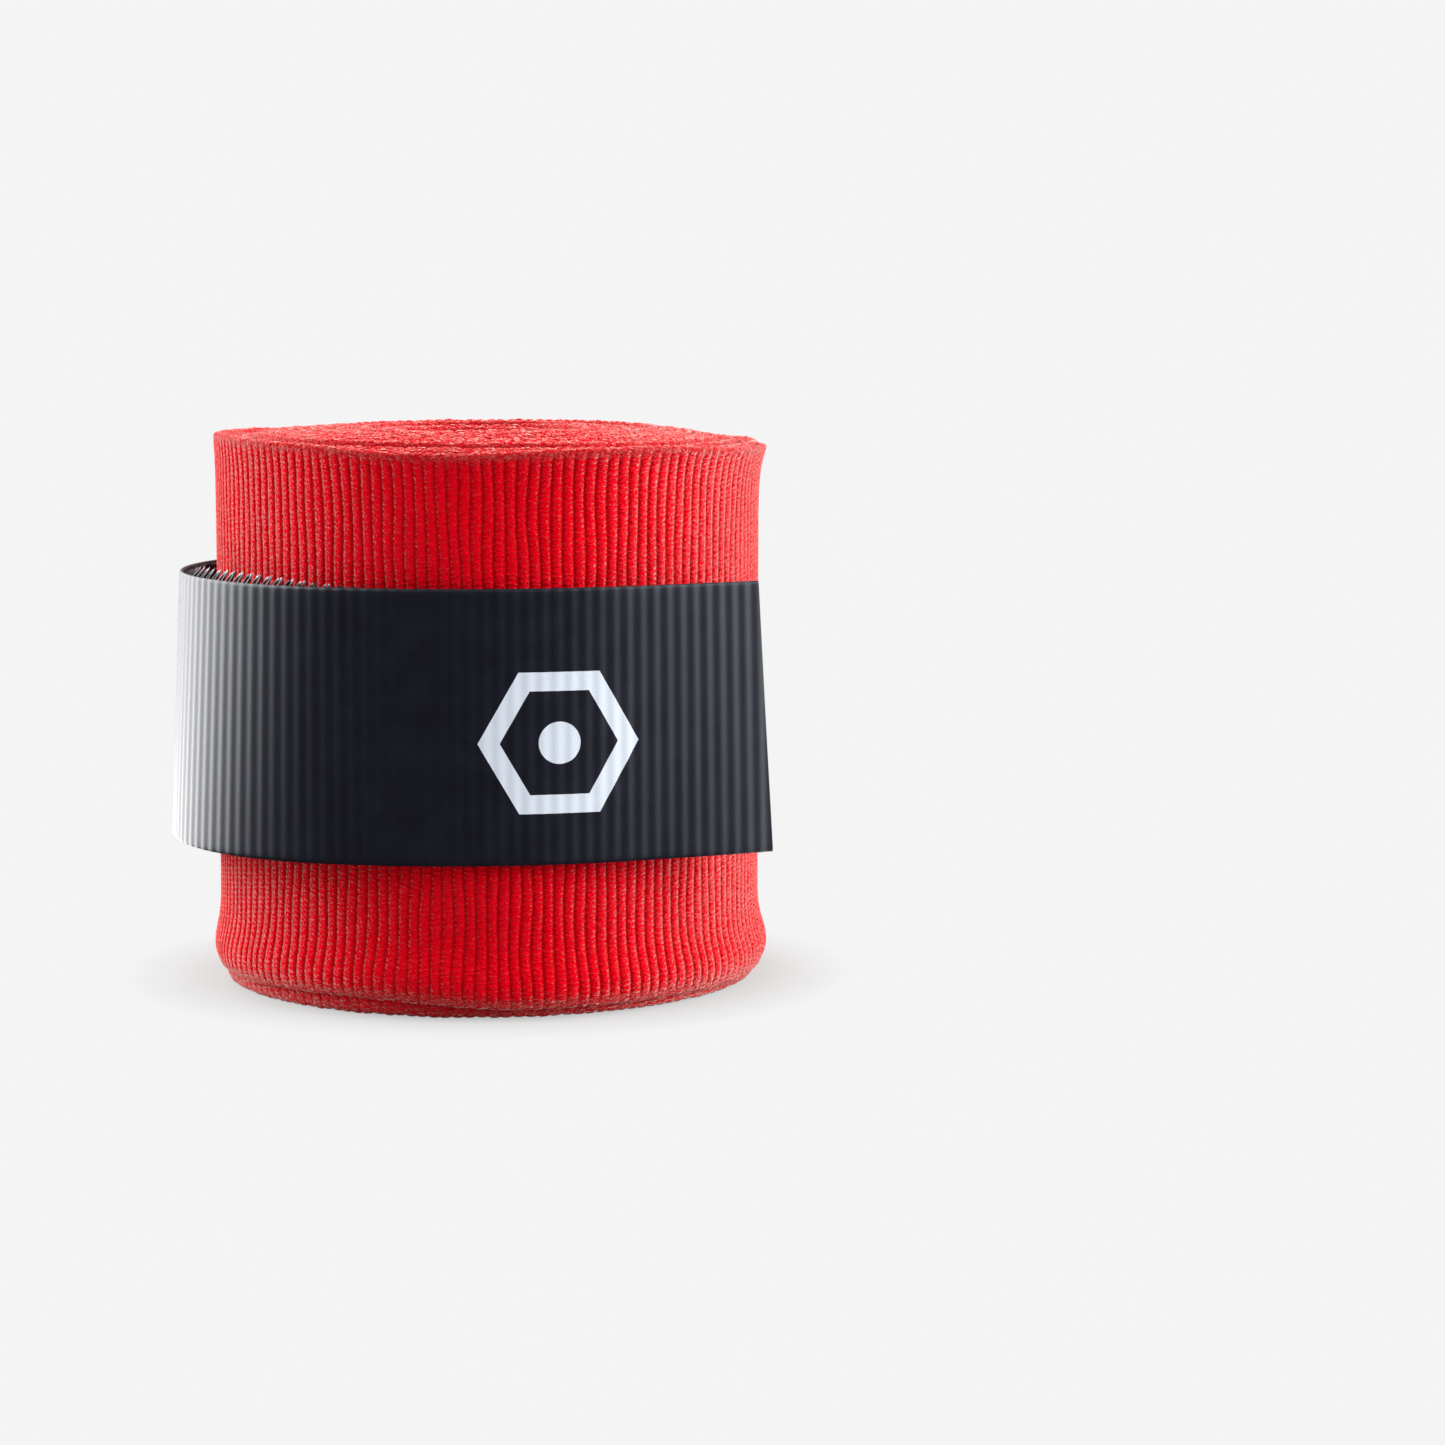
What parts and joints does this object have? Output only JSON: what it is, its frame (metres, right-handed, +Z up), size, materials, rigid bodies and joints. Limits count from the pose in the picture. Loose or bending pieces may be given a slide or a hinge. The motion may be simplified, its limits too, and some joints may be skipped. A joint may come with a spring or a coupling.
{
  "type": "rolled hand wrap",
  "caption": "Rolled elastic hand wrap for boxing: red ribbed webbing wound round its black thumb loop and closed by a black hook strap that peels open.",
  "frame": {"origin": "on the roll's axis, at the floor under the lower selvedge", "axes": "+Z up along the roll's axis, -Y towards the front, where the strap's free end closes"},
  "size_m": [0.0547, 0.0542, 0.051],
  "materials": {
    "webbing": "ribbed elastic knit, soft sheen",
    "hook_tape": "satin moulded hook tape",
    "loop_tape": "flat woven tape",
    "thread": "polyester sewing thread"
  },
  "bodies": {
    "roll": {"wrap_band": "webbing", "thumb_loop": "loop_tape", "loop_stitches": "thread"},
    "tail": {"wrap_tail": "webbing", "strap_root": "hook_tape", "strap_stitches": "thread"},
    "section_1": {"strap_section_1": "hook_tape"},
    "section_2": {"strap_section_2": "hook_tape"},
    "section_3": {"strap_section_3": "hook_tape"},
    "section_4": {"strap_section_4": "hook_tape"},
    "section_5": {"strap_section_5": "hook_tape"},
    "section_6": {"strap_section_6": "hook_tape"},
    "section_7": {"strap_section_7": "hook_tape"},
    "section_8": {"strap_section_8": "hook_tape"}
  },
  "joints": [
    {"name": "tail_lift", "type": "hinge", "parent": "roll", "child": "tail", "pos_m": [0.02167, 0.01354, 0.0266], "axis": [0, 0, -1], "range_deg": [0, 25]},
    {"name": "strap_bend_1", "type": "hinge", "parent": "tail", "child": "section_1", "pos_m": [-0.00489, 0.02659, 0.0266], "axis": [0, 0, -1], "range_deg": [0, 31]},
    {"name": "strap_bend_2", "type": "hinge", "parent": "section_1", "child": "section_2", "pos_m": [-0.01701, 0.02081, 0.0266], "axis": [0, 0, -1], "range_deg": [0, 21]},
    {"name": "strap_bend_3", "type": "hinge", "parent": "section_2", "child": "section_3", "pos_m": [-0.02543, 0.01022, 0.0266], "axis": [0, 0, -1], "range_deg": [0, 29]},
    {"name": "strap_bend_4", "type": "hinge", "parent": "section_3", "child": "section_4", "pos_m": [-0.02857, -0.00286, 0.0266], "axis": [0, 0, -1], "range_deg": [0, 33.5]},
    {"name": "strap_peel", "type": "hinge", "parent": "section_4", "child": "section_5", "pos_m": [-0.02449, -0.01563, 0.0266], "axis": [0, 0, -1], "range_deg": [0, 33.5]},
    {"name": "strap_bend_6", "type": "hinge", "parent": "section_5", "child": "section_6", "pos_m": [-0.01403, -0.02402, 0.0266], "axis": [0, 0, -1], "range_deg": [0, 21.5]},
    {"name": "strap_bend_7", "type": "hinge", "parent": "section_6", "child": "section_7", "pos_m": [-0.00077, -0.02666, 0.0266], "axis": [0, 0, -1], "range_deg": [0, 21]},
    {"name": "strap_bend_8", "type": "hinge", "parent": "section_7", "child": "section_8", "pos_m": [0.01255, -0.02431, 0.0266], "axis": [0, 0, -1], "range_deg": [0, 4.5]}
  ],
  "couplings": [
    {"joint": "strap_bend_1", "follows": "tail_lift", "ratio": 1.24},
    {"joint": "strap_bend_2", "follows": "tail_lift", "ratio": 0.83999},
    {"joint": "strap_bend_3", "follows": "tail_lift", "ratio": 1.16},
    {"joint": "strap_bend_4", "follows": "tail_lift", "ratio": 1.34},
    {"joint": "strap_bend_6", "follows": "strap_peel", "ratio": 0.64179},
    {"joint": "strap_bend_7", "follows": "strap_peel", "ratio": 0.62686},
    {"joint": "strap_bend_8", "follows": "strap_peel", "ratio": 0.13432}
  ]
}
